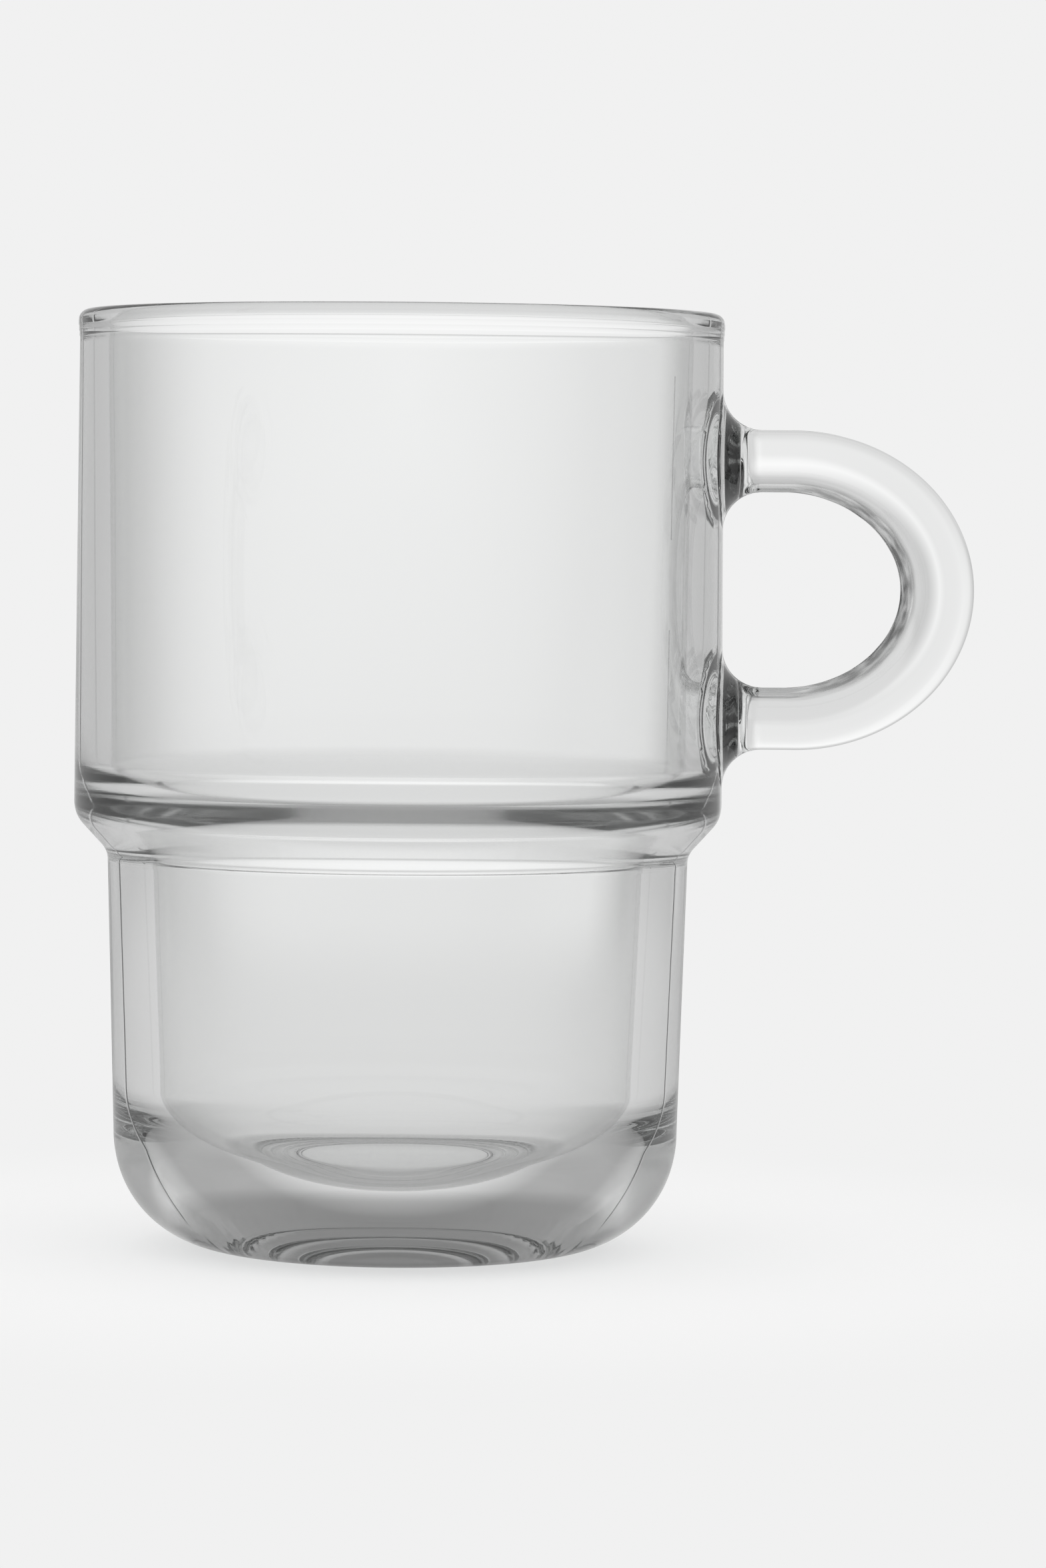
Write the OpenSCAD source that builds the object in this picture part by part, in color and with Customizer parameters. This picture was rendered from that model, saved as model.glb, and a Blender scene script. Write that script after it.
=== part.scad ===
// Stackable pressed glass mug with a stepped body and a D-shaped handle.
// Millimetres, +Z up, the resting plane at z = 0 and the bowl's axis on Z.
// The handle points along +X, and X-Z is the plane of symmetry and of the mould seams.

/* [Outside of the bowl] */
// Height from the resting plane to the crest of the rim
glass_h = 101.5; // [96:0.5:110]
// Outside diameter just under the rim band
rim_d = 69.9; // [64:0.1:76]
// How much the upper wall's radius grows from the rim band down to the shoulder
upper_spread = 0.2; // [0:0.05:0.6]
// How much the lower wall's radius shrinks from the neck down to the base corner
lower_draft = 0.9; // [0:0.05:1.5]
// Radius of the round corner between the lower wall and the resting ring
base_corner_r = 12.2; // [9:0.1:14]
// Height at which the upper wall turns in to the shoulder
shoulder_z = 48.1; // [42:0.1:54]
// Radius of the shoulder's outer edge
shoulder_r = 3.4; // [1.5:0.1:4]
// Radius of the hollow between the shoulder and the lower wall
hollow_r = 2.9; // [1.5:0.1:4]
// Slope of the shoulder, in degrees from the vertical
shoulder_angle = 42.8; // [35:0.1:60]

/* [Rim] */
// Wall thickness at the mouth
rim_wall = 3.2; // [2.6:0.1:4]
// Radius of the rim's outer edge
rim_outer_r = 1.1; // [0.6:0.05:1.3]
// Radius of the rim's inner edge
rim_inner_r = 1.4; // [0.6:0.05:1.6]
// Height of the stepped band round the rim
band_h = 1.8; // [1:0.1:3]
// How far each step of the band stands out
band_step = 0.05; // [0.02:0.01:0.15]
// Depth of the band's top below the crest
band_drop = 1.1; // [1:0.05:2]

/* [Inside of the bowl] */
// Gap all round the lower wall of a second glass that is stacked in the mouth
stack_gap = 0.3; // [0.2:0.05:0.8]
// Wall thickness just above the inner shoulder
shoulder_wall = 3.9; // [3.6:0.1:5]
// Wall thickness just below the inner shoulder
neck_wall = 4.8; // [4:0.1:6]
// Wall thickness where the floor corner begins
low_wall = 4.95; // [4:0.05:6]
// Height of the inner shoulder's upper edge above the outer one
inner_rise = 4.6; // [3:0.1:6]
// Radius of the inner shoulder's upper edge
inner_upper_r = 5.6; // [1:0.1:8]
// Radius of the inner shoulder's lower edge
inner_lower_r = 2.8; // [1:0.1:5]
// Slope of the inner shoulder, in degrees from the vertical
inner_angle = 37.2; // [30:0.1:60]
// Height of the floor's centre above the resting plane
floor_z = 5.5; // [4.5:0.1:12]
// Radius of the corner between the inner wall and the floor
floor_corner_r = 12.9; // [3:0.1:15]
// Radius of the low dome of the floor's middle
floor_dome_r = 170; // [80:5:400]

/* [Underside] */
// Width of the resting ring, from the base corner in to the recess
ring_w = 7.15; // [4:0.05:8]
// Depth of the step at the edge of the recess
recess_step = 0.7; // [0.1:0.05:0.8]
// Depth of the recess at its centre
recess_h = 0.85; // [0.3:0.05:1.5]
// Number of fine grooves round the resting ring
ring_grooves = 3; // [1:1:4]
// Depth of each groove
groove_h = 0.12; // [0.06:0.02:0.4]
// Number of radial notches that roughen the outer part of the ring
notches = 72; // [24:4:120]
// Depth of a notch
notch_h = 0.1; // [0.05:0.05:0.4]

/* [Handle] */
// Height of the middle of the handle
handle_z = 71.65; // [68:0.05:76]
// Half the spacing of the two bars' centre lines
loop_r = 14.0; // [12:0.05:15]
// Reach of the loop's centre line beyond the ends of the straight bars
loop_l = 16.2; // [12:0.1:20]
// Length of the straight bars, from the joint to the loop
straight_l = 5.5; // [3:0.1:12]
// Thickness of the bar near its roots
bar_d = 6.6; // [5:0.1:8]
// Thickness of the bar at the outermost point of the loop
bar_mid_d = 7.7; // [5:0.1:9]
// Width of the bar across the plane of the loop
bar_w = 7.8; // [6:0.1:10]
// Squareness of the bar's outer half, where 2 is an ellipse
outer_square = 7; // [2:0.5:10]
// Squareness of the bar's inner half
inner_square = 2.4; // [2:0.1:10]
// Distance from the wall to the joint between a root and the bar
root_l = 1.6; // [1:0.1:3]
// Radius of the flare of each root
flare_r = 4.4; // [3:0.1:6]

/* [Mould seam] */
// Width of the seam that the two halves of the mould leave
seam_w = 0.3; // [0.2:0.05:0.6]
// How far the seam stands out
seam_h = 0.08; // [0.04:0.01:0.2]

/* [Hidden] */
// Segments in each outline arc, in a root's flare, and along and round the bar
arc_steps = 10;
flare_steps = 6;
loop_steps = 40;
straight_steps = 8;
section_steps = 32;
// Steps in the rim band
band_steps = 3;
// A groove's share of the pitch of the grooves
groove_share = 0.35;
// Share of the ring's width that the notches cover, from its outer edge inwards
notch_share = 0.5;
// Depth below the wall's surface at which a root's flare ends
root_sink = 0.35;
// Share of the straight bar over which its round section turns square
square_share = 0.35;
// Where on the base corner the mould seam starts
seam_angle = -72;

rim_rad = rim_d / 2;
upper_rad = rim_rad + upper_spread;
band_rad = rim_rad + band_step * band_steps;
band_z = glass_h - band_drop - band_h;
mouth_rad = rim_rad - rim_wall;
neck_rad = mouth_rad - stack_gap;
low_rad = neck_rad - lower_draft;
ring_rad = low_rad - base_corner_r;
recess_rad = ring_rad - ring_w;
groove_pitch = ring_w / (ring_grooves + 1);

// Outer radius of the upper wall at height z
function wall_rad(z) = upper_rad - upper_spread * (z - shoulder_z) / (band_z - shoulder_z);
// Height of the upper bar, side 1, or the lower bar, side -1
function bar_z(side) = handle_z + side * loop_r;
// The wall's surface seen from the bar, at distance y from the plane of the loop
function wall_x(side, y) = sqrt(pow(wall_rad(bar_z(side)), 2) - pow(y, 2));

joint_x = wall_rad(bar_z(-1)) + root_l;
loop_x = joint_x + straight_l;

// Points on an arc round centre c, from angle a0 to angle a1
function arc(c, r, a0, a1, n = arc_steps) =
    [for (i = [0:n]) let (a = a0 + (a1 - a0) * i / n) [c.x + r * cos(a), c.y + r * sin(a)]];

// Height of the lower arc's centre, so that one slope touches both arcs of a step
function step_low_z(c_upper, r_upper, x_lower, r_lower, slope) =
    c_upper.y - ((c_upper.x - x_lower) * cos(slope) + r_upper + r_lower) / sin(slope);

// Outside from the resting ring to the top of the band, swelled by grow for the seam
function outside(grow = 0, start = -90) = let (
    upper = [upper_rad - shoulder_r, shoulder_z],
    lower_x = neck_rad + hollow_r,
    lower = [lower_x, step_low_z(upper, shoulder_r, lower_x, hollow_r, shoulder_angle)]
) concat(
    arc([ring_rad, base_corner_r], base_corner_r + grow, start, 0, 2 * arc_steps),
    arc(lower, hollow_r - grow, 180, 180 - shoulder_angle),
    arc(upper, shoulder_r + grow, -shoulder_angle, 0),
    [for (i = [0:band_steps - 1], side = [0, 1])
        [rim_rad + band_step * (i + side) + grow, band_z + band_h * i / band_steps]]
);

// Inner step, from the upper wall down to the lower wall
function inner_step() = let (
    upper = [upper_rad - shoulder_wall - inner_upper_r, shoulder_z + inner_rise],
    lower_x = neck_rad - neck_wall + inner_lower_r,
    lower = [lower_x, step_low_z(upper, inner_upper_r, lower_x, inner_lower_r, inner_angle)]
) concat(
    arc(upper, inner_upper_r, 0, -inner_angle),
    arc(lower, inner_lower_r, 180 - inner_angle, 180)
);

// Round corner and low dome of the floor, from the inner wall to the axis
function floor_line() = let (
    x = low_rad - low_wall - floor_corner_r,
    dome_z = floor_z - floor_dome_r,
    lean = asin(x / (floor_dome_r + floor_corner_r)),
    z = dome_z + (floor_dome_r + floor_corner_r) * cos(lean)
) concat(
    arc([x, z], floor_corner_r, 0, -90 - lean, 2 * arc_steps),
    [for (i = [arc_steps - 1:-1:0]) let (a = lean * i / arc_steps)
        [floor_dome_r * sin(a), dome_z + floor_dome_r * cos(a)]]
);

// Domed recess and grooved resting ring, from the axis outwards
function underside() = let (
    dome_h = recess_h - recess_step,
    dome_r = (pow(recess_rad, 2) + pow(dome_h, 2)) / (2 * dome_h),
    edge_angle = asin(recess_rad / dome_r)
) concat(
    [for (i = [0:arc_steps]) let (a = edge_angle * i / arc_steps)
        [dome_r * sin(a), recess_h - dome_r * (1 - cos(a))]],
    [[recess_rad, 0]],
    [for (i = [1:ring_grooves], side = [-1, 0, 1])
        [recess_rad + groove_pitch * (i + side * groove_share / 2), side == 0 ? groove_h : 0]]
);

module bowl_outline()
    polygon(concat(
        underside(),
        outside(),
        arc([band_rad - rim_outer_r, glass_h - rim_outer_r], rim_outer_r, 0, 90),
        arc([mouth_rad + rim_inner_r, glass_h - rim_inner_r], rim_inner_r, 90, 180),
        inner_step(),
        floor_line()
    ));

// Seam ridge down both sides of the bowl, in the X-Z plane
module bowl_seam() {
    skin = outside(seam_h, seam_angle);
    core = outside(-seam_w, seam_angle);
    rotate([90, 0, 0])
        linear_extrude(seam_w, center = true)
            for (side = [0, 1])
                mirror([side, 0, 0])
                    polygon(concat(skin, [for (i = [len(core) - 1:-1:0]) core[i]]));
}

// Radial notches in the outer part of the resting ring, running out on the base corner
module ring_notches() {
    inner = ring_rad - ring_w * notch_share;
    length = ring_rad - inner + sqrt(2 * base_corner_r * notch_h);
    for (i = [0:notches - 1])
        rotate([0, 0, 360 * (i + 1 / 2) / notches])
            translate([inner, 0, 0])
                rotate([45, 0, 0])
                    translate([0, -notch_h / sqrt(2), -notch_h / sqrt(2)])
                        cube([length, notch_h * sqrt(2), notch_h * sqrt(2)]);
}

// How much the bar widens at distance h from the wall's surface
function spread(h) = let (d = min(flare_r, flare_r - h - root_sink))
    d > 0 ? flare_r - sqrt(pow(flare_r, 2) - pow(d, 2)) : 0;

// Radius of the bar's section at angle a: half thickness d, half width w, and n for squareness
function section_r(a, d, w, n) =
    pow(pow(abs(cos(a)) / d, n) + pow(abs(sin(a)) / w, n), -1 / n);

// Squareness on the outer or the inner half of the section, growing from 2 by the share given
function square_at(a, share) =
    2 + share * ((abs(a % 360 - 180) > 90 ? outer_square : inner_square) - 2);

// Radius of the flared bar at x, at angle a round it
function flared(side, x, a) = let (
    share = max(0, min(1, (x - joint_x) / (straight_l * square_share))),
    r = section_r(a, bar_d / 2, bar_w / 2, square_at(a, share)),
    y = (r + spread(x - wall_x(side, 0))) * sin(a),
    y_next = (r + spread(x - wall_x(side, y))) * sin(a)
) r + spread(x - wall_x(side, y_next));

// Angles round the bar: even steps, and three points for each seam ridge
function section_angles() = let (
    half = section_steps / 2,
    edge = asin(seam_w / bar_w)
) [for (a = [0, 180]) each concat(
    [[a, seam_h], [a + edge, 0]],
    [for (i = [1:half - 1]) [a + 180 * i / half, 0]],
    [[a + 180 - edge, 0]]
)];

// Flared root that carries one end of the bar, from inside the wall to the joint
module root(side) {
    rings = [for (k = [-1:flare_steps]) [for (v = section_angles()) let (
        edge = (section_r(v[0], bar_d / 2, bar_w / 2, 2) + flare_r) * sin(v[0]),
        start_x = wall_x(side, edge) - root_sink,
        x = start_x + (joint_x - start_x) * max(0, k) / flare_steps,
        radius = flared(side, x, v[0]) + v[1]
    ) [k < 0 ? mouth_rad + rim_wall / 2 : x, radius * sin(v[0]), bar_z(side) + side * radius * cos(v[0])]]];
    skin(rings, side);
}

// Solid with a closed skin through rings of points; turn is -1 for rings that run the other way round
module skin(rings, turn = 1) {
    n = len(rings[0]);
    last = len(rings) - 1;
    walls = [for (k = [0:last - 1], i = [0:n - 1]) let (j = (i + 1) % n)
        [k * n + i, (k + 1) * n + i, (k + 1) * n + j, k * n + j]];
    ends = [[for (i = [0:n - 1]) i], [for (i = [0:n - 1]) last * n + n - 1 - i]];
    faces = concat(walls, ends);
    polyhedron(
        points = [for (ring = rings) each ring],
        faces = turn > 0 ? faces : [for (f = faces) [for (i = [len(f) - 1:-1:0]) f[i]]]
    );
}

module glass_body() color([0.86, 0.9, 0.9, 0.4]) difference() {
    union() {
        rotate_extrude($fn = 180) bowl_outline();
        bowl_seam();
        for (side = [-1, 1]) root(side);
    }
    ring_notches();
}

// Ring of the straight bar, a share of the way from the joint to the loop.
// The outer half of the section is the top of the upper bar and the bottom of the lower one.
function straight_ring(share, side) = let (x = joint_x + straight_l * share) [
    for (v = section_angles()) let (radius = flared(side, x, v[0]) + v[1])
        [x, radius * sin(v[0]), bar_z(side) + side * radius * cos(v[0])]
];

// Ring of the oval loop, a share of the way round from the upper bar to the lower one
function loop_ring(share) = let (
    turn = 90 - 180 * share,
    normal = [cos(turn) / loop_l, sin(turn) / loop_r],
    out = normal / norm(normal),
    half = (bar_d + (bar_mid_d - bar_d) * cos(turn)) / 2
) [for (v = section_angles()) let (
        radius = section_r(v[0], half, bar_w / 2, square_at(v[0], 1)) + v[1],
        t = radius * cos(v[0])
    ) [loop_x + loop_l * cos(turn) + t * out.x, radius * sin(v[0]), handle_z + loop_r * sin(turn) + t * out.y]
];

module handle() color([0.82, 0.88, 0.88, 0.4])
    skin(concat(
        [for (i = [0:straight_steps - 1]) straight_ring(i / straight_steps, 1)],
        [for (i = [0:loop_steps]) loop_ring(i / loop_steps)],
        [for (i = [1:straight_steps]) straight_ring(1 - i / straight_steps, -1)]
    ));

glass_body();
handle();
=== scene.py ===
"""Looks for the stackable glass mug: fine glass meshes, a pale studio and the photograph's camera."""
import math

import bmesh
import bpy
from mathutils import Matrix


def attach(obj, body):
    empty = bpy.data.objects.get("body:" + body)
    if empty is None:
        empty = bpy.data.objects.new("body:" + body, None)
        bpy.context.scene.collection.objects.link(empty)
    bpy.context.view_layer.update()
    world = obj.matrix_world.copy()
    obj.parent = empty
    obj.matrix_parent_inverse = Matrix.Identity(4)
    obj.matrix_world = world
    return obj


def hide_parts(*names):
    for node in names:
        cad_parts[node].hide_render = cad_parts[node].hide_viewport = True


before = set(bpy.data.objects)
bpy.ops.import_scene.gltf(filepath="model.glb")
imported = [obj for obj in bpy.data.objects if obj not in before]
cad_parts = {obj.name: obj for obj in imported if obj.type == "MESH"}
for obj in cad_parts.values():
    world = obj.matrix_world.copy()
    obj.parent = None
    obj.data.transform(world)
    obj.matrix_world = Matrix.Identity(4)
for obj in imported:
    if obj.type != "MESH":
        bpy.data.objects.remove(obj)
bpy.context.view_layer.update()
MM = 0.001

# Sizes in millimetres, named as in the construction
GLASS_H = 101.5
RIM_R = 34.95
UPPER_SPREAD = 0.2
LOWER_DRAFT = 0.9
BASE_CORNER_R = 12.2
SHOULDER_Z = 48.1
SHOULDER_R = 3.4
HOLLOW_R = 2.9
SHOULDER_ANGLE = 42.8
RIM_WALL = 3.2
RIM_OUTER_R = 1.1
RIM_INNER_R = 1.4
BAND_H = 1.8
BAND_STEP = 0.05
BAND_STEPS = 3
BAND_DROP = 1.1
STACK_GAP = 0.3
SHOULDER_WALL = 3.9
NECK_WALL = 4.8
LOW_WALL = 4.95
INNER_RISE = 4.6
INNER_UPPER_R = 5.6
INNER_LOWER_R = 2.8
INNER_ANGLE = 37.2
FLOOR_Z = 5.5
FLOOR_CORNER_R = 12.9
FLOOR_DOME_R = 170
RING_W = 7.15
RECESS_STEP = 0.7
RECESS_H = 0.85
GROOVES = 3
GROOVE_H = 0.12
GROOVE_SHARE = 0.35
NOTCHES = 72
NOTCH_H = 0.1
NOTCH_SHARE = 0.5
HANDLE_Z = 71.65
LOOP_R = 14.0
LOOP_L = 16.2
STRAIGHT_L = 5.5
BAR_D = 6.6
BAR_MID_D = 7.7
BAR_W = 7.9
OUTER_SQUARE = 9.0
INNER_SQUARE = 3.3
ROOT_L = 1.6
FLARE_R = 4.4
SEAM_H = 0.07

# Sizes that follow from them
UPPER_R = RIM_R + UPPER_SPREAD
BAND_R = RIM_R + BAND_STEP * BAND_STEPS
BAND_Z = GLASS_H - BAND_DROP - BAND_H
MOUTH_R = RIM_R - RIM_WALL
NECK_R = MOUTH_R - STACK_GAP
LOW_R = NECK_R - LOWER_DRAFT
RING_R = LOW_R - BASE_CORNER_R
RECESS_R = RING_R - RING_W
GROOVE_PITCH = RING_W / (GROOVES + 1)

# Fine forms that only the looks have: lengths in millimetres, angles in degrees
ACROSS = 0.9996  # keeps the round within the faceted construction's box
DOME_SHARE = 0.3
LIP = ((0.04, 0.21), (0.2, 0.05), (0.4, 0))  # the recess's edge: distance out and height
GROOVE_FLANK = 0.7
BAND_IN = 0.15
BAND_FOOT = 0.03
BAND_BEND = 0.12
BAND_LIP = 0.06
NOTCH_REACH = 1.2
NOTCH_SOFT = 0.15
SEAM_DEG = 0.25
SEAM_CLEAR_DEG = 0.375
SEAM_START = 3.5
WAVES = ((0.012, 3, 19), (0.008, 7, -11), (0.006, 2, 5))  # height, turns round, rise per radian
WAVE_START_Z = 14.0
WAVE_FULL_Z = 30.0
PLAIN_Z = 45.0  # no waves on the outside from here up
SQUARE_SHARE = 0.07  # of the straight length, where the section turns square
TAPER = 0.22
TAPER_ANGLES = (13, 39, 53, 99)  # starts, full, kept up to, ends

# Chill ripples on the bar's inner side
CHILL_H = 0.016
CHILL_FADE = (30, 62)  # degrees from the middle of the inner side
CHILL_RISE = (0.05, 0.2)  # shares of the straight length
DRIFTS = ((1.7, 0.31, 1), (0.9, 0.83, -2))  # size, pace along the bar, turn by side
LINES = ((1.0, 0.55, 1.0, 0.0), (0.6, 1.13, -1.4, 0.47))  # size, pitch round, lean, pace along
BREAKS = (0.55, 0.45, 0.9, 0.12)  # least, swing, pace along, pitch round
STRAIGHT_CHILL = {1: 0.9, -1: 0.5}  # by side: 1 is the upper length
LOOP_CHILL = 0.5
CROWN_CHILL = 0.4
FAR_CHILL = 0.6
FAR_DEG = -12  # a little below the loop's far end
FAR_SPREAD = 32

# Rows and columns of the meshes
PATCH = 9.0
CELLS = 36
AROUND_CELLS = 336
BEND_CELLS = 14
RIM_CELLS = 16
INNER_BEND_CELLS = 18
CORNER_CELLS = 48
ROW_PITCH = 1.5
BETWEEN_ROWS = 12
TOP_ROWS = 5
FLAT_ROWS = 4
ROOT_ROWS = 12
LOOP_CELLS = 96
NEAR_STEPS = (0, 0.008, 0.02, 0.035, 0.05, 0.07, 0.1, 0.14)  # close where the section changes
FAR_STEP = 0.18
FAR_STEPS = 18
CAP_RINGS = (0.66, 0.33)
TINY = 1e-4
PATCH_DEG = math.degrees(math.asin(PATCH / UPPER_R))

# Glass: colour, light lost on grazing and on bouncing inside, where it is duller, and painted shade on the
# bar's inner side and under the bowl
TINT = (0.994, 0.996, 0.995)
SHADOW_TINT = (0.93, 0.94, 0.94, 1)
GLASS_IOR = 1.52
BODY_LOSS = (0.22, 0.14)
HANDLE_LOSS = (0.16, 0.0)
GRAZE_POWER = 1.5
BOUNCE_RANGE = (0.2, 0.45)
SKIN_ZONE = (41, 46, 52, 60)
SKIN_ROUGH = 0.07
ROOT_ZONE = (34.2, 35.0, 36.6, 37.2)
ROOT_ROUGH = 0.06
# Painted shade on the bowl's underside: full below the first height in millimetres, gone above the second
UNDER_SHADE = 0.3
UNDER_ZONE = (0.4, 1.2)
# Painted shade along the handle's inner side, broken up by its chill wrinkles and deepest at the loop's far
# end
INNER_SHADE = 0.82
INNER_REACH = (11.2, 12.1)  # from the loop's middle
INNER_START = (37.2, 39)  # from the bowl's axis
WRINKLED_SHADE_RUN = 2.5
WRINKLED_SHADE_SCALE = 1500.0
WRINKLED_SHADE_RANGE = (0.35, 0.6)
WRINKLED_SHADE_LEAST = 0.45
FAR_SHARE = 0.45
RIPPLE_SCALE = 260.0

# Light of the studio, by the angle from straight behind the glass and by side
AHEAD = 0.88
CLOSE = {
    "up": (0.95, 1.0, 0.9),
    "down": (0.75, 0.7, 0.6),
    "left": (0.85, 0.7, 0.65),
    "right": (0.8, 0.9, 0.6),
}
BESIDE = {"up": 0.62, "down": 0.33, "left": 0.62, "right": 0.62}
BEHIND = 0.85
CLOSE_ANGLES = (6, 13, 22)
BESIDE_ANGLES = (33, 68)
BEHIND_ANGLE = 95
LAMP_STRENGTH = 1.35
LAMP_ANGLE = 70
BACKDROP = (0.879, 0.879, 0.879, 1)
# Painted light: the glow of the sheet that stands for the lit floor in the glass
LIT_FLOOR_GLOW = (0.71, 0.71, 0.71, 1)

# Floor of the studio, and the painted glow of the lit floor seen in the glass: lengths in millimetres
SHEET_SIDES = 96
STUDIO_R = 4000
STUDIO_DROP = 0.2
SHADOW_SHARE = 0.45
SHADOW_FADE = (30, 110)
LIT_R = 500
LIT_DROP = 0.1
LIT_ZONE = (50, 85, 250, 450)

# The photograph, in its own pixels, and the size of the mouth in it
PHOTO_W = 1568
PHOTO_H = 2350
MOUTH_MM = 70
MOUTH_PIXELS = 964
VIEW_PIXELS = 8800
EYE_ROW = 756
FOOT_ROW = 1866
AXIS_COLUMN = 602.5
AXIS_ROW = 520
LEAN_PIXELS = 10.5
LEAN_ROWS = 1140
ROLL_DEG = 0.5
FILM_MM = 36

LIGHT_BOUNCES = 40
CLEAR_BOUNCES = 24


def wall_r(z):
    """Radius of the upper wall's outside at height z."""
    return UPPER_R - UPPER_SPREAD * (z - SHOULDER_Z) / (BAND_Z - SHOULDER_Z)


def bar_z(side):
    """Height of the bar's middle at the upper root, side 1, or the lower one, side -1."""
    return HANDLE_Z + side * LOOP_R


JOINT_X = wall_r(bar_z(-1)) + ROOT_L
LOOP_X = JOINT_X + STRAIGHT_L


def ease(low, high, value):
    """0 up to low, 1 from high on, and a smooth way between."""
    t = max(0.0, min(1.0, (value - low) / (high - low)))
    return t * t * (3 - 2 * t)


def arc(cx, cz, r, a0, a1, n):
    """Points on an arc about (cx, cz), from a0 to a1 degrees."""
    out = []
    for i in range(n + 1):
        a = math.radians(a0 + (a1 - a0) * i / n)
        out.append((cx + r * math.cos(a), cz + r * math.sin(a)))
    return out


def line(p, q):
    """Points after p up to q, about one row apart."""
    n = max(1, round(math.dist(p, q) / ROW_PITCH))
    return [(p[0] + (q[0] - p[0]) * i / n, p[1] + (q[1] - p[1]) * i / n) for i in range(1, n + 1)]


def step_low_z(upper_x, upper_z, r_upper, lower_x, r_lower, slope):
    """Height of the lower arc's centre, where a straight slope joins two arcs."""
    a = math.radians(slope)
    return upper_z - ((upper_x - lower_x) * math.cos(a) + r_upper + r_lower) / math.sin(a)


def underside():
    """The section from the axis out to the ring: recess, its edge, and the ring's grooves."""
    dome = (RECESS_H - RECESS_STEP) * DOME_SHARE
    r = (RECESS_R ** 2 + dome ** 2) / (2 * dome)
    edge = math.asin(RECESS_R / r)
    out = []
    for i in range(BEND_CELLS + 1):
        a = edge * i / BEND_CELLS
        out.append((r * math.sin(a), RECESS_STEP + dome - r * (1 - math.cos(a))))
    out += [(RECESS_R + away, height) for away, height in LIP]
    for i in range(1, GROOVES + 1):
        middle = RECESS_R + GROOVE_PITCH * i
        half = GROOVE_PITCH * GROOVE_SHARE / 2
        flank = GROOVE_H * GROOVE_FLANK
        out += [(middle - half, 0), (middle - half / 2, flank), (middle, GROOVE_H)]
        out += [(middle + half / 2, flank), (middle + half, 0), (middle + GROOVE_PITCH / 2, 0)]
    return out[:-1]


def upper_wall():
    """The outside from the shoulder to the band, with rows that fit the two patches."""
    stops = []
    for side in (-1, 1):
        stops += [bar_z(side) - PATCH + 2 * PATCH * i / CELLS for i in range(CELLS + 1)]
    low, high, top = stops[CELLS], stops[CELLS + 1], stops[-1]
    rows = [(SHOULDER_Z + stops[0]) / 2] + stops[:CELLS + 1]
    rows += [low + (high - low) * i / BETWEEN_ROWS for i in range(1, BETWEEN_ROWS)]
    rows += stops[CELLS + 1:]
    rows += [top + (BAND_Z - top) * i / TOP_ROWS for i in range(1, TOP_ROWS + 1)]
    return [(wall_r(z), z) for z in rows]


def band():
    """The fine steps below the rim."""
    out = []
    for i in range(BAND_STEPS):
        z = BAND_Z + BAND_H * i / BAND_STEPS
        out.append((RIM_R + BAND_STEP * (i + BAND_IN), z + BAND_FOOT))
        out.append((RIM_R + BAND_STEP * (i + 1), z + BAND_BEND))
        out.append((RIM_R + BAND_STEP * (i + 1), z + BAND_H / BAND_STEPS - BAND_LIP))
    return out


def inside(start):
    """The section from the rim's inner edge down the wall, over the inner step and to the axis."""
    upper_x = UPPER_R - SHOULDER_WALL - INNER_UPPER_R
    upper_z = SHOULDER_Z + INNER_RISE
    lower_x = NECK_R - NECK_WALL + INNER_LOWER_R
    lower_z = step_low_z(upper_x, upper_z, INNER_UPPER_R, lower_x, INNER_LOWER_R, INNER_ANGLE)
    upper = arc(upper_x, upper_z, INNER_UPPER_R, 0, -INNER_ANGLE, INNER_BEND_CELLS)
    out = line(start, upper[0]) + upper[1:]
    out += arc(lower_x, lower_z, INNER_LOWER_R, 180 - INNER_ANGLE, 180, BEND_CELLS)
    corner_x = LOW_R - LOW_WALL - FLOOR_CORNER_R
    reach = FLOOR_DOME_R + FLOOR_CORNER_R
    lean = math.asin(corner_x / reach)
    corner_z = FLOOR_Z - FLOOR_DOME_R + reach * math.cos(lean)
    corner = arc(corner_x, corner_z, FLOOR_CORNER_R, 0, -90 - math.degrees(lean), CORNER_CELLS)
    out += line(out[-1], corner[0]) + corner[1:]
    for i in range(BEND_CELLS - 1, -1, -1):
        a = lean * i / BEND_CELLS
        out.append((FLOOR_DOME_R * math.sin(a), FLOOR_Z - FLOOR_DOME_R * (1 - math.cos(a))))
    return out


def outline():
    """The bowl's section from the axis under the base, up the outside and down the inside."""
    out = underside() + arc(RING_R, BASE_CORNER_R, BASE_CORNER_R, -90, 0, CORNER_CELLS)
    upper_x = UPPER_R - SHOULDER_R
    lower_x = NECK_R + HOLLOW_R
    lower_z = step_low_z(upper_x, SHOULDER_Z, SHOULDER_R, lower_x, HOLLOW_R, SHOULDER_ANGLE)
    hollow = arc(lower_x, lower_z, HOLLOW_R, 180, 180 - SHOULDER_ANGLE, BEND_CELLS)
    out += line(out[-1], hollow[0]) + hollow[1:]
    out += arc(upper_x, SHOULDER_Z, SHOULDER_R, -SHOULDER_ANGLE, 0, BEND_CELLS)
    out += upper_wall() + band()
    out += arc(BAND_R - RIM_OUTER_R, GLASS_H - RIM_OUTER_R, RIM_OUTER_R, 0, 90, BEND_CELLS)
    out += arc(MOUTH_R + RIM_INNER_R, GLASS_H - RIM_INNER_R, RIM_INNER_R, 90, 180, RIM_CELLS)
    out += inside(out[-1])
    kept = [out[0]]
    for p in out[1:]:
        if math.dist(p, kept[-1]) > TINY:
            kept.append(p)
    return kept


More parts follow.
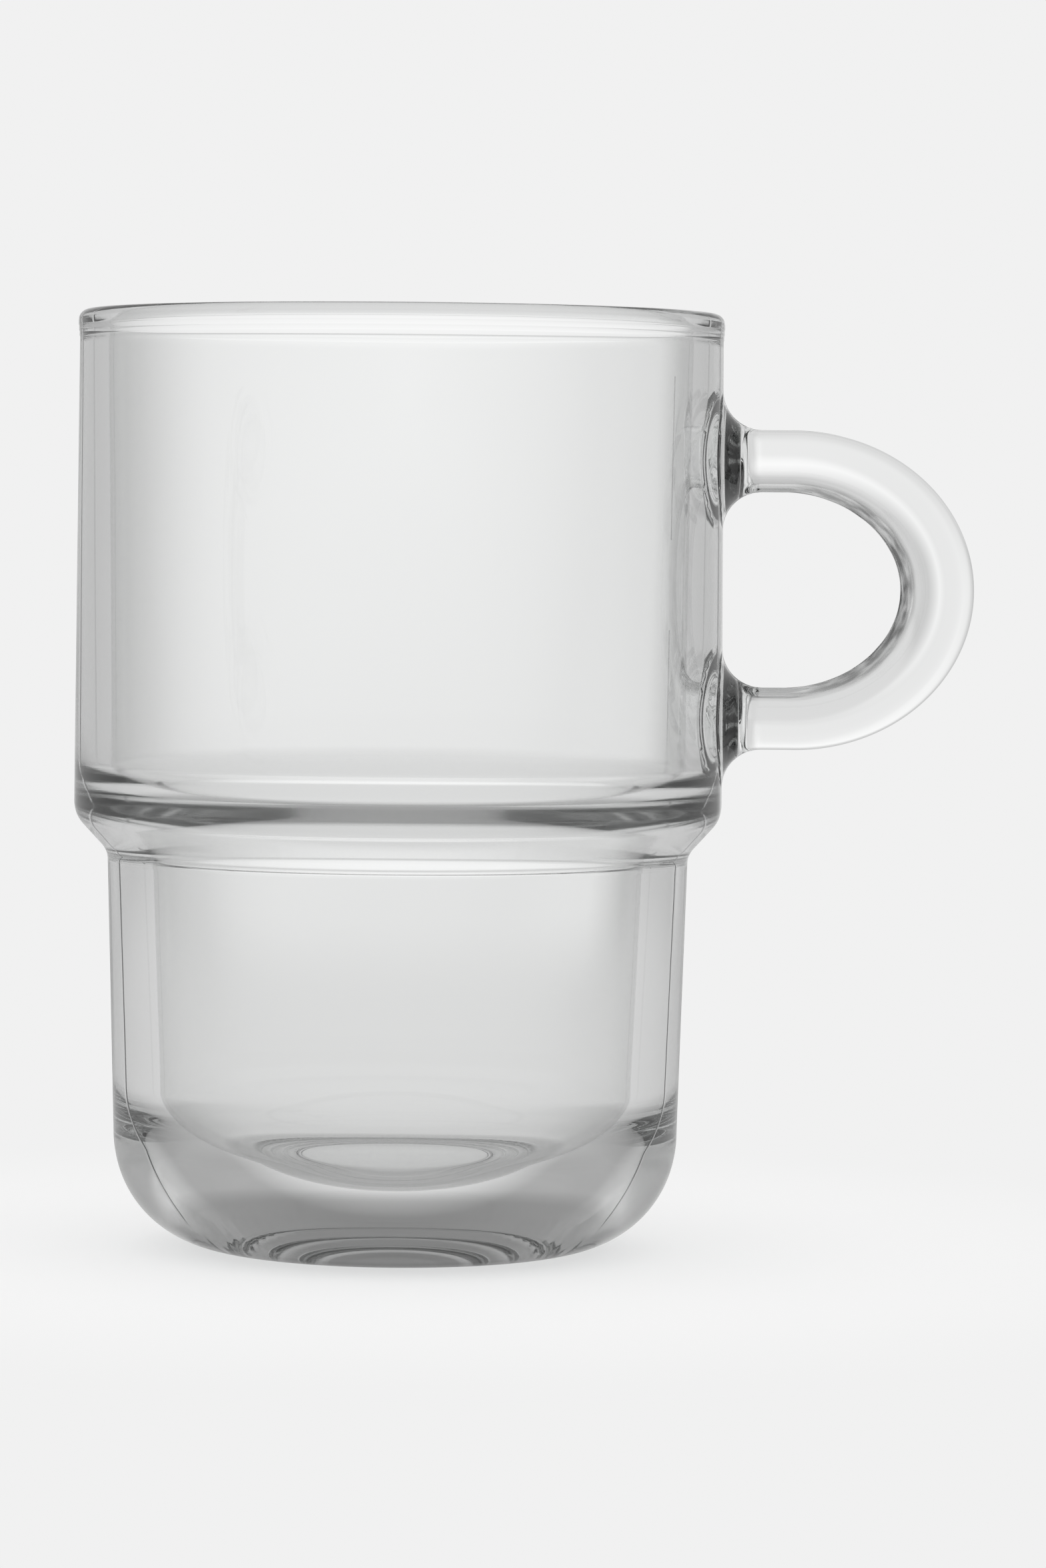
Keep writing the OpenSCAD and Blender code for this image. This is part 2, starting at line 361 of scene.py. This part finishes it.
def columns():
    """Angles of the lathe's columns, in degrees: fine across the patches and at both seams."""
    half = [math.degrees(math.asin(PATCH * 2 * i / CELLS / UPPER_R)) for i in range(CELLS // 2 + 1)]
    half.insert(1, SEAM_DEG)
    around = []
    for i in range(1, AROUND_CELLS):
        a = PATCH_DEG + (360 - 2 * PATCH_DEG) * i / AROUND_CELLS
        if abs(a - 180) > SEAM_CLEAR_DEG:
            around.append(a)
    around += [180 - SEAM_DEG, 180, 180 + SEAM_DEG]
    return half + sorted(around) + [360 - a for a in reversed(half[1:])]


def wave(a, z):
    """Slight unevenness of a pressed wall, in millimetres."""
    t = math.radians(a)
    return sum(height * math.sin(turns * t + z / rise) for height, turns, rise in WAVES)


def spread(h):
    """How far the flare stands out from the bar at h from the wall."""
    d = FLARE_R - h
    return FLARE_R - math.sqrt(max(0.0, FLARE_R ** 2 - d * d)) if d > 0 else 0.0


def section_r(a, d, w, n):
    """Radius of the bar's section at angle a: half thickness d, half width w, n for squareness."""
    return ((abs(math.cos(a)) / d) ** n + (abs(math.sin(a)) / w) ** n) ** (-1 / n)


def square_at(a, share):
    """Squareness at angle a: round at a share of 0, full at 1."""
    full = OUTER_SQUARE if math.cos(a) > 0 else INNER_SQUARE
    return 2 + share * (full - 2)


def from_inside(a):
    """Degrees from the middle of the bar's inner side to angle a."""
    return 180 - abs(math.degrees(math.atan2(math.sin(a), math.cos(a))))


def taper(a):
    """Share of the radius left at angle a, where the bar narrows towards the loop's inside."""
    b = from_inside(a)
    start, full, keep, end = TAPER_ANGLES
    return 1 - TAPER * ease(start, full, b) * (1 - ease(keep, end, b))


def chill(a, along, strength):
    """Fine ripples that run along the bar's inner side, where the glass cooled on the mould."""
    b = from_inside(a)
    front = 1 if math.sin(a) < 0 else -1
    drift = sum(size * math.sin(pace * along + turn * front) for size, pace, turn in DRIFTS)
    lines = sum(size * math.sin(pitch * b + lean * drift + pace * along) for size, pitch, lean, pace in LINES)
    least, swing, pace, pitch = BREAKS
    breaks = least + swing * math.sin(pace * along + pitch * b + front)
    return CHILL_H * strength * lines * breaks * (1 - ease(*CHILL_FADE, b))


def flared(side, x, a):
    """Radius of the flared bar at x, and at angle a from the side away from the loop's middle."""
    wall = wall_r(bar_z(side))
    share = max(0.0, min(1.0, (x - JOINT_X) / (STRAIGHT_L * SQUARE_SHARE)))
    r = section_r(a, BAR_D / 2, BAR_W / 2, square_at(a, share)) * (1 - share * (1 - taper(a)))
    y = (r + spread(max(0.0, x - wall))) * math.sin(a)
    for _ in range(3):
        y = (r + spread(max(0.0, x - math.sqrt(wall ** 2 - y * y)))) * math.sin(a)
    return r + spread(max(0.0, x - math.sqrt(wall ** 2 - y * y)))


def patch_edge():
    """Points (y, z) round a patch's square edge, from the side away from the loop and towards +Y."""
    side = [PATCH * (2 * i / CELLS - 1) for i in range(CELLS + 1)]
    seam_y = UPPER_R * math.sin(math.radians(SEAM_DEG))
    top = side[:CELLS // 2] + [-seam_y, 0.0, seam_y] + side[CELLS // 2 + 1:]
    middle = top.index(0.0)
    edge = [(y, PATCH) for y in top[middle:]]
    edge += [(PATCH, z) for z in reversed(side[:-1])]
    edge += [(y, -PATCH) for y in reversed(top[:-1])]
    edge += [(-PATCH, z) for z in side[1:]]
    edge += [(y, PATCH) for y in top[1:middle]]
    return edge


# Angles round the bar that both meshes share, and the seam's ridge at each
EDGE = patch_edge()
ANGLES = [math.atan2(y, z) for y, z in EDGE]
RIDGE = [SEAM_H if abs(math.sin(a)) < TINY else 0.0 for a in ANGLES]


def joint_ring(side):
    """Points of the joint between one root and the bar, shared by both meshes."""
    out = []
    for a, ridge in zip(ANGLES, RIDGE):
        r = flared(side, JOINT_X, a) + ridge
        out.append((JOINT_X, r * math.sin(a), bar_z(side) + side * r * math.cos(a)))
    return out


def add_points(verts, points):
    """Adds the points and gives their numbers."""
    start = len(verts)
    verts.extend(points)
    return list(range(start, len(verts)))


def add_rings(faces, rings, slot, slots):
    """Quads between rings of vertex numbers."""
    for a, b in zip(rings, rings[1:]):
        n = len(a)
        for i in range(n):
            j = (i + 1) % n
            faces.append((a[i], a[j], b[j], b[i]))
            slots.append(slot)


def add_cap(verts, faces, ring, slots):
    """Flat weld face inside a ring, as two inner rings and a middle point."""
    points = [verts[i] for i in ring]
    n = len(points)
    middle = tuple(sum(p[k] for p in points) / n for k in range(3))
    rings = [ring]
    for share in CAP_RINGS:
        inner = [tuple(m + (q - m) * share for q, m in zip(p, middle)) for p in points]
        rings.append(add_points(verts, inner))
    add_rings(faces, rings, 1, slots)
    verts.append(middle)
    last = rings[-1]
    for i in range(n):
        faces.append((last[i], last[(i + 1) % n], len(verts) - 1))
        slots.append(1)


def finish_mesh(name, verts, faces, slots, materials):
    """The piece in the scene, from points in millimetres. The weld faces, slot 1, stay flat."""
    mesh = bpy.data.meshes.new(name)
    mesh.from_pydata([tuple(c * MM for c in v) for v in verts], [], faces)
    for m in materials:
        mesh.materials.append(m)
    mesh.polygons.foreach_set("material_index", slots)
    work = bmesh.new()
    work.from_mesh(mesh)
    bmesh.ops.recalc_face_normals(work, faces=work.faces)
    work.to_mesh(mesh)
    work.free()
    for p in mesh.polygons:
        p.use_smooth = p.material_index == 0
    mesh.update()
    obj = bpy.data.objects.new(name, mesh)
    bpy.context.scene.collection.objects.link(obj)
    return obj


def bowl_points(profile, cols, rim_at):
    """The lathe's points, and for each point of the section the numbers of its row."""
    top_of_corner = next(i for i, p in enumerate(profile) if p[0] > LOW_R - TINY)
    verts, rings = [], []
    for k, (r, z) in enumerate(profile):
        if r < TINY:
            rings.append(add_points(verts, [(0, 0, z)]))
            continue
        outside = 0 < k < rim_at
        notched = k < top_of_corner and RING_R - RING_W * NOTCH_SHARE <= r <= RING_R + NOTCH_REACH
        row = []
        for a in cols:
            t = math.radians(a)
            radius = r
            if not (outside and z > PLAIN_Z):
                radius += wave(a, z) * ease(WAVE_START_Z, WAVE_FULL_Z, z)
            if outside and r > RING_R + SEAM_START and a in (0, 180):
                radius += SEAM_H
            lift = NOTCH_H * NOTCH_SOFT * max(0.0, math.cos(t * NOTCHES)) ** 2 if notched else 0.0
            row.append((radius * math.cos(t), radius * math.sin(t) * ACROSS, z + lift))
        rings.append(add_points(verts, row))
    return verts, rings


def bowl_faces(rings, patch_rows, n):
    """The lathe's faces, without those of the two patches."""
    half = CELLS // 2 + 1
    patch_cols = set(range(half)) | set(range(n - half, n))
    skip = {row for first in patch_rows.values() for row in range(first, first + CELLS)}
    faces = []
    for k, (a, b) in enumerate(zip(rings, rings[1:])):
        for i in range(n):
            j = (i + 1) % n
            if k in skip and i in patch_cols and j in patch_cols:
                continue
            if len(a) == 1:
                faces.append((a[0], b[j], b[i]))
            elif len(b) == 1:
                faces.append((a[i], a[j], b[0]))
            else:
                faces.append((a[i], a[j], b[j], b[i]))
    return faces


def wall_ring(rings, first, side, n):
    """The wall's points round one patch, in the order of patch_edge."""
    rows = rings[first:first + CELLS + 1]
    if side < 0:
        rows = rows[::-1]
    half = CELLS // 2 + 1
    order = [(-i) % n for i in range(half, -1, -1)] + list(range(1, half + 1))
    middle = len(order) // 2
    top = [rows[-1][c] for c in order]
    ring = top[middle:]
    ring += [rows[i][order[-1]] for i in range(CELLS - 1, -1, -1)]
    ring += [rows[0][c] for c in reversed(order[:-1])]
    ring += [rows[i][order[0]] for i in range(1, CELLS + 1)]
    return ring + top[1:middle]


def root_rings(verts, ring, side):
    """One root: rings from the patch's edge over the wall to the flare, and along it to the joint."""
    wall = wall_r(bar_z(side))
    lip = [section_r(a, BAR_D / 2, BAR_W / 2, 2) + FLARE_R for a in ANGLES]
    loops = [ring]
    for k in range(1, FLAT_ROWS):
        s = k / FLAT_ROWS
        out = []
        for a, (y, z), ridge, reach in zip(ANGLES, EDGE, RIDGE, lip):
            py = y + (reach * math.sin(a) - y) * s
            pz = bar_z(side) + side * (z + (reach * math.cos(a) - z) * s)
            out.append((math.sqrt((wall_r(pz) + ridge) ** 2 - py ** 2), py, pz))
        loops.append(add_points(verts, out))
    for k in range(ROOT_ROWS):
        s = k / ROOT_ROWS
        out = []
        for a, ridge, reach in zip(ANGLES, RIDGE, lip):
            edge_x = math.sqrt(wall ** 2 - (reach * math.sin(a)) ** 2)
            x = edge_x + (JOINT_X - edge_x) * s ** 2
            r = flared(side, x, a) + ridge * s
            pz = bar_z(side) + side * r * math.cos(a)
            out.append((x + (wall_r(pz) - wall + ridge) * (1 - s), r * math.sin(a), pz))
        loops.append(add_points(verts, out))
    loops.append(add_points(verts, joint_ring(side)))
    return loops


def bowl(materials):
    """The lathe with its two roots, open there to the weld faces."""
    profile = outline()
    cols = columns()
    n = len(cols)
    rim_at = next(i for i, p in enumerate(profile) if p[1] > GLASS_H - BAND_DROP)
    verts, rings = bowl_points(profile, cols, rim_at)
    patch_rows = {}
    for side in (-1, 1):
        z0 = bar_z(side) - PATCH
        wall = [i for i, p in enumerate(profile[:rim_at]) if abs(p[1] - z0) < TINY and p[0] > NECK_R]
        patch_rows[side] = wall[0]
    faces = bowl_faces(rings, patch_rows, n)
    slots = [0] * len(faces)
    for side, first in patch_rows.items():
        loops = root_rings(verts, wall_ring(rings, first, side, n), side)
        add_rings(faces, loops, 0, slots)
        add_cap(verts, faces, loops[-1], slots)
    return finish_mesh("bowl_glass", verts, faces, slots, materials)


def straight_ring(share, side):
    """Points round one straight length, at a share of its way from the joint to the loop."""
    x = JOINT_X + STRAIGHT_L * share
    strength = STRAIGHT_CHILL[side] * ease(*CHILL_RISE, share)
    out = []
    for a, ridge in zip(ANGLES, RIDGE):
        r = flared(side, x, a) + ridge
        r += chill(a, side * (x - LOOP_X), strength)
        out.append((x, r * math.sin(a), bar_z(side) + side * r * math.cos(a)))
    return out


def loop_ring(turn):
    """Points round the bar where the loop has turned to this angle: 90 degrees is its top."""
    half = (BAR_D + (BAR_MID_D - BAR_D) * math.cos(turn)) / 2
    nx, nz = math.cos(turn) / LOOP_L, math.sin(turn) / LOOP_R
    size = math.hypot(nx, nz)
    far = math.exp(-((math.degrees(turn) - FAR_DEG) / FAR_SPREAD) ** 2)
    strength = LOOP_CHILL + CROWN_CHILL * math.sin(turn) ** 2 + FAR_CHILL * far
    out = []
    for a, ridge in zip(ANGLES, RIDGE):
        r = section_r(a, half, BAR_W / 2, square_at(a, 1)) * taper(a) + ridge
        r += chill(a, (math.pi / 2 - turn) * LOOP_R, strength)
        t = r * math.cos(a)
        x = LOOP_X + LOOP_L * math.cos(turn) + t * nx / size
        out.append((x, r * math.sin(a), HANDLE_Z + LOOP_R * math.sin(turn) + t * nz / size))
    return out


def handle(materials):
    """The bar: along the upper straight length, round the loop and back along the lower one."""
    steps = list(NEAR_STEPS)
    steps += [FAR_STEP + (1 - FAR_STEP) * i / FAR_STEPS for i in range(FAR_STEPS)]
    points = [straight_ring(step, 1) for step in steps]
    points += [loop_ring(math.radians(90 - 180 * i / LOOP_CELLS)) for i in range(LOOP_CELLS + 1)]
    points += [straight_ring(step, -1) for step in reversed(steps)]
    verts, faces, slots = [], [], []
    loops = [add_points(verts, ring) for ring in points]
    add_rings(faces, loops, 0, slots)
    add_cap(verts, faces, loops[0], slots)
    add_cap(verts, faces, loops[-1], slots)
    return finish_mesh("handle_glass", verts, faces, slots, materials)


def new_material(name):
    """An empty material and its node tree."""
    m = bpy.data.materials.new(name)
    m.use_nodes = True
    m.node_tree.nodes.clear()
    return m, m.node_tree


def add_node(tree, kind, **inputs):
    """A new node. Each keyword is an input's name, with _ for a space, and its value."""
    node = tree.nodes.new(kind)
    for key, value in inputs.items():
        node.inputs[key.replace("_", " ")].default_value = value
    return node


def math_node(tree, operation, *values):
    """A math node whose inputs are numbers or other nodes' outputs."""
    node = tree.nodes.new("ShaderNodeMath")
    node.operation = operation
    for i, value in enumerate(values):
        if isinstance(value, (int, float)):
            node.inputs[i].default_value = value
        else:
            tree.links.new(value, node.inputs[i])
    return node.outputs["Value"]


def map_range(tree, value, start, end, first, last, smooth=False):
    """A level that goes from first to last while the value goes from start to end."""
    node = add_node(tree, "ShaderNodeMapRange", From_Min=start, From_Max=end, To_Min=first, To_Max=last)
    if smooth:
        node.interpolation_type = "SMOOTHSTEP"
    tree.links.new(value, node.inputs["Value"])
    return node.outputs["Result"]


def zone(tree, value, stops, peak):
    """A level that eases up between two stops in millimetres, holds its peak, and eases down."""
    rise, high, fall, low = (stop * MM for stop in stops)
    up = map_range(tree, value, rise, high, 0.0, peak, True)
    down = map_range(tree, value, fall, low, peak, 0.0, True)
    return math_node(tree, "MINIMUM", up, down)


def mix_shaders(tree, fac, first, second):
    """The first shader where fac is 0, the second where it is 1."""
    mix = tree.nodes.new("ShaderNodeMixShader")
    tree.links.new(fac, mix.inputs["Fac"])
    tree.links.new(first, mix.inputs[1])
    tree.links.new(second, mix.inputs[2])
    return mix.outputs["Shader"]


def inner_side_shade(tree, place):
    """Painted shade on the handle's inner side, broken up by its chill wrinkles: the share of light left, 1
    where it is not shaded at all.
    """
    out_x = math_node(tree, "MAXIMUM", math_node(tree, "SUBTRACT", place.outputs["X"], LOOP_X * MM), 0.0)
    out_x = math_node(tree, "MULTIPLY", out_x, LOOP_R / LOOP_L)
    up_z = math_node(tree, "SUBTRACT", place.outputs["Z"], HANDLE_Z * MM)
    out_square = math_node(tree, "POWER", out_x, 2.0)
    up_square = math_node(tree, "MULTIPLY", up_z, up_z)
    reach = math_node(tree, "SQRT", math_node(tree, "ADD", out_square, up_square))
    near = map_range(tree, reach, INNER_REACH[0] * MM, INNER_REACH[1] * MM, 1.0, 0.0, True)
    past = map_range(tree, place.outputs["X"], INNER_START[0] * MM, INNER_START[1] * MM, 0.0, 1.0)
    # Painted shade broken up by wrinkles that run along the loop, deepest at its far end
    turn = math_node(tree, "ARCTAN2", up_z, out_x)
    along = tree.nodes.new("ShaderNodeCombineXYZ")
    tree.links.new(reach, along.inputs["X"])
    tree.links.new(place.outputs["Y"], along.inputs["Y"])
    tree.links.new(math_node(tree, "MULTIPLY", turn, WRINKLED_SHADE_RUN * MM), along.inputs["Z"])
    wrinkle_shade = add_node(tree, "ShaderNodeTexNoise", Scale=WRINKLED_SHADE_SCALE, Detail=2.0, Roughness=0.5)
    tree.links.new(along.outputs["Vector"], wrinkle_shade.inputs["Vector"])
    depth = map_range(tree, wrinkle_shade.outputs["Fac"], *WRINKLED_SHADE_RANGE, WRINKLED_SHADE_LEAST, 1.0)
    strength = math_node(tree, "MULTIPLY", near, past)
    strength = math_node(tree, "MULTIPLY", strength, depth)
    far = math_node(tree, "MULTIPLY_ADD", math_node(tree, "COSINE", turn), FAR_SHARE, 1.0 - FAR_SHARE)
    strength = math_node(tree, "MULTIPLY", strength, far)
    return math_node(tree, "MULTIPLY_ADD", strength, -INNER_SHADE, 1.0)


def light_kept(tree, losses):
    """Share of light left at a touch: less where it grazes the skin or bounces along inside."""
    slant = add_node(tree, "ShaderNodeLayerWeight", Blend=0.5)
    graze = math_node(tree, "POWER", slant.outputs["Facing"], GRAZE_POWER)
    entering = math_node(tree, "MULTIPLY_ADD", graze, -losses[0], 1.0)
    trapped = map_range(tree, slant.outputs["Facing"], *BOUNCE_RANGE, 1.0, 1.0 - losses[1])
    geometry = tree.nodes.new("ShaderNodeNewGeometry")
    kept = tree.nodes.new("ShaderNodeMix")
    tree.links.new(geometry.outputs["Backfacing"], kept.inputs["Factor"])
    tree.links.new(entering, kept.inputs["A"])
    tree.links.new(trapped, kept.inputs["B"])
    return kept.outputs["Result"]


def glass(name, losses, shades_bar_inside):
    """Clear pressed glass: fine ripple in the surface, and light that reaches the floor through it."""
    m, tree = new_material(name)
    link = tree.links.new
    out = tree.nodes.new("ShaderNodeOutputMaterial")
    coord = tree.nodes.new("ShaderNodeTexCoord")
    ripple = add_node(tree, "ShaderNodeTexNoise", Scale=RIPPLE_SCALE, Detail=3.0, Roughness=0.5)
    bump = add_node(tree, "ShaderNodeBump", Strength=0.004, Distance=0.0002)
    body = add_node(tree, "ShaderNodeBsdfGlass", IOR=GLASS_IOR)
    place = tree.nodes.new("ShaderNodeSeparateXYZ")
    link(coord.outputs["Object"], place.inputs["Vector"])
    link(coord.outputs["Object"], ripple.inputs["Vector"])
    link(ripple.outputs["Fac"], bump.inputs["Height"])
    link(bump.outputs["Normal"], body.inputs["Normal"])
    # The mould leaves the skin a little duller at the shoulder and at the roots of the handle
    skin = zone(tree, place.outputs["Z"], SKIN_ZONE, SKIN_ROUGH)
    roots = zone(tree, place.outputs["X"], ROOT_ZONE, ROOT_ROUGH)
    link(math_node(tree, "MAXIMUM", skin, roots), body.inputs["Roughness"])
    # The roots lose no light; painted shade darkens the bar's inner side, broken up by its chill wrinkles,
    # and the underside of the bowl
    level = math_node(tree, "MAXIMUM", light_kept(tree, losses), math_node(tree, "DIVIDE", roots, ROOT_ROUGH))
    if shades_bar_inside:
        level = math_node(tree, "MULTIPLY", level, inner_side_shade(tree, place))
    else:
        # Painted shade on the underside of the bowl
        low, high = (stop * MM for stop in UNDER_ZONE)
        under = map_range(tree, place.outputs["Z"], low, high, 1.0 - UNDER_SHADE, 1.0)
        level = math_node(tree, "MULTIPLY", level, under)
    shade = add_node(tree, "ShaderNodeVectorMath", Vector=TINT)
    shade.operation = "SCALE"
    link(level, shade.inputs["Scale"])
    link(shade.outputs["Vector"], body.inputs["Color"])
    clear = add_node(tree, "ShaderNodeBsdfTransparent", Color=SHADOW_TINT)
    path = tree.nodes.new("ShaderNodeLightPath")
    shown = mix_shaders(tree, path.outputs["Is Shadow Ray"], body.outputs["BSDF"], clear.outputs["BSDF"])
    link(shown, out.inputs["Surface"])
    return m


def weld(name):
    """The face inside the glass where root and bar are one: it bends no light."""
    m, tree = new_material(name)
    out = tree.nodes.new("ShaderNodeOutputMaterial")
    clear = tree.nodes.new("ShaderNodeBsdfTransparent")
    tree.links.new(clear.outputs["BSDF"], out.inputs["Surface"])
    return m


def fill_ramp(ramp, stops):
    """Sets the ramp's greys: each stop is a place from 0 to 1 and a level."""
    points = ramp.color_ramp.elements
    points[0].position, points[1].position = stops[0][0], stops[-1][0]
    for position, _ in stops[1:-1]:
        points.new(position)
    for element, (_, level) in zip(points, stops):
        element.color = (level, level, level, 1)


def side_level(tree, angle, name):
    """Light of one side of the studio, by the angle from straight behind the glass as a share of 180."""
    stops = [(0, AHEAD)] + list(zip(CLOSE_ANGLES, CLOSE[name]))
    stops += [(a, BESIDE[name]) for a in BESIDE_ANGLES]
    stops += [(BEHIND_ANGLE, BEHIND), (180, BEHIND)]
    ramp = tree.nodes.new("ShaderNodeValToRGB")
    fill_ramp(ramp, [(a / 180, level) for a, level in stops])
    tree.links.new(angle, ramp.inputs["Fac"])
    return ramp.outputs["Color"]


def choose(tree, fac, low, high):
    """The colour low where fac is 0, high where it is 1."""
    mix = tree.nodes.new("ShaderNodeMix")
    mix.data_type = "RGBA"
    tree.links.new(fac, mix.inputs["Factor"])
    tree.links.new(low, mix.inputs["A"])
    tree.links.new(high, mix.inputs["B"])
    return mix.outputs["Result"]


def studio_world():
    """A white studio, brightest straight behind the glass and graded to each side."""
    world = bpy.data.worlds.new("studio")
    world.use_nodes = True
    tree = world.node_tree
    tree.nodes.clear()
    out = tree.nodes.new("ShaderNodeOutputWorld")
    coord = tree.nodes.new("ShaderNodeTexCoord")
    split = tree.nodes.new("ShaderNodeSeparateXYZ")
    tree.links.new(coord.outputs["Generated"], split.inputs["Vector"])
    x, y, z = (split.outputs[k] for k in "XYZ")
    angle = math_node(tree, "DIVIDE", math_node(tree, "ARCCOSINE", y), math.pi)
    xx, zz = math_node(tree, "MULTIPLY", x, x), math_node(tree, "MULTIPLY", z, z)
    share = math_node(tree, "DIVIDE", zz, math_node(tree, "ADD", math_node(tree, "ADD", xx, zz), 1e-9))
    level = {name: side_level(tree, angle, name) for name in CLOSE}
    vertical = choose(tree, math_node(tree, "GREATER_THAN", z, 0.0), level["down"], level["up"])
    sideways = choose(tree, math_node(tree, "GREATER_THAN", x, 0.0), level["left"], level["right"])
    graded = add_node(tree, "ShaderNodeBackground", Strength=1.0)
    tree.links.new(choose(tree, share, sideways, vertical), graded.inputs["Color"])
    plain = add_node(tree, "ShaderNodeBackground", Strength=1.0, Color=BACKDROP)
    path = tree.nodes.new("ShaderNodeLightPath")
    seen = path.outputs["Is Camera Ray"]
    shown = mix_shaders(tree, seen, graded.outputs["Background"], plain.outputs["Background"])
    tree.links.new(shown, out.inputs["Surface"])
    bpy.context.scene.world = world


def disc(name, radius, drop, material):
    """A flat round sheet, a little below the foot of the glass."""
    add_circle = bpy.ops.mesh.primitive_circle_add
    add_circle(vertices=SHEET_SIDES, radius=radius * MM, fill_type="NGON", location=(0, 0, -drop * MM))
    obj = bpy.context.object
    obj.name = name
    obj.data.materials.append(material)
    return obj


def from_middle(tree):
    """Distance from the world's middle."""
    geometry = tree.nodes.new("ShaderNodeNewGeometry")
    length = tree.nodes.new("ShaderNodeVectorMath")
    length.operation = "LENGTH"
    tree.links.new(geometry.outputs["Position"], length.inputs[0])
    return length.outputs["Value"]


def studio_floor():
    """A pale floor of the backdrop's colour, which takes a soft shadow near the glass."""
    m, tree = new_material("pale_floor")
    out = tree.nodes.new("ShaderNodeOutputMaterial")
    start, end = (stop * MM for stop in SHADOW_FADE)
    fade = map_range(tree, from_middle(tree), start, end, SHADOW_SHARE, 0.0, True)
    plain = add_node(tree, "ShaderNodeEmission", Color=BACKDROP)
    cloth = add_node(tree, "ShaderNodeBsdfDiffuse", Color=BACKDROP)
    shown = mix_shaders(tree, fade, plain.outputs["Emission"], cloth.outputs["BSDF"])
    tree.links.new(shown, out.inputs["Surface"])
    floor = disc("studio_floor", STUDIO_R, STUDIO_DROP, m)
    floor.visible_transmission = False
    floor.visible_glossy = False


def floor_seen_in_glass():
    """A glowing sheet, seen only in the glass, that paints in the light of the lit floor. Right under the
    glass it is left out, as it is dark there.
    """
    m, tree = new_material("painted_floor_glow")
    m.cycles.emission_sampling = "NONE"
    out = tree.nodes.new("ShaderNodeOutputMaterial")
    lit = add_node(tree, "ShaderNodeEmission", Color=LIT_FLOOR_GLOW)
    clear = tree.nodes.new("ShaderNodeBsdfTransparent")
    fade = zone(tree, from_middle(tree), LIT_ZONE, 1.0)
    shown = mix_shaders(tree, fade, clear.outputs["BSDF"], lit.outputs["Emission"])
    tree.links.new(shown, out.inputs["Surface"])
    ring = disc("floor_seen_in_glass", LIT_R, LIT_DROP, m)
    ring.visible_camera = False
    ring.visible_diffuse = False
    ring.visible_shadow = False


def overhead_lamp():
    """A broad soft lamp for the shadow on the floor. The glass doesn't show it."""
    lamp = bpy.data.lights.new("overhead", "SUN")
    lamp.energy = LAMP_STRENGTH
    lamp.angle = math.radians(LAMP_ANGLE)
    obj = bpy.data.objects.new("overhead", lamp)
    obj.location = (0, 0, 1)
    obj.visible_glossy = False
    obj.visible_transmission = False
    bpy.context.scene.collection.objects.link(obj)


def camera():
    """The photograph's camera: level with the middle of the upper body, far off, frame shifted down."""
    pixel = MOUTH_MM / MOUTH_PIXELS * MM
    axis_column = AXIS_COLUMN - (EYE_ROW - AXIS_ROW) * LEAN_PIXELS / LEAN_ROWS
    data = bpy.data.cameras.new("photo_camera")
    obj = bpy.data.objects.new("photo_camera", data)
    bpy.context.scene.collection.objects.link(obj)
    obj.location = (0, -VIEW_PIXELS * pixel, (FOOT_ROW - EYE_ROW) * pixel)
    roll = Matrix.Rotation(math.radians(ROLL_DEG), 3, "Z")
    obj.rotation_euler = (Matrix.Rotation(math.radians(90), 3, "X") @ roll).to_euler()
    data.sensor_fit = "VERTICAL"
    data.sensor_height = FILM_MM
    data.lens = VIEW_PIXELS / PHOTO_H * FILM_MM
    data.shift_x = (PHOTO_W / 2 - axis_column) / PHOTO_H
    data.shift_y = -(PHOTO_H / 2 - EYE_ROW) / PHOTO_H
    bpy.context.scene.camera = obj


bpy.context.scene.view_settings.view_transform = "Standard"
paths = bpy.context.scene.cycles
paths.max_bounces = LIGHT_BOUNCES
paths.transmission_bounces = LIGHT_BOUNCES
paths.glossy_bounces = LIGHT_BOUNCES
paths.transparent_max_bounces = CLEAR_BOUNCES

inner_weld = weld("weld_face")
bowl_piece = bowl([glass("body_glass_look", BODY_LOSS, False), inner_weld])
bar_piece = handle([glass("handle_glass_look", HANDLE_LOSS, True), inner_weld])
for piece, node, slot in ((bowl_piece, "glass_body", "body_glass"), (bar_piece, "handle", "handle_glass")):
    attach(piece, "root")
    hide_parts(node)

studio_world()
studio_floor()
floor_seen_in_glass()
overhead_lamp()
camera()
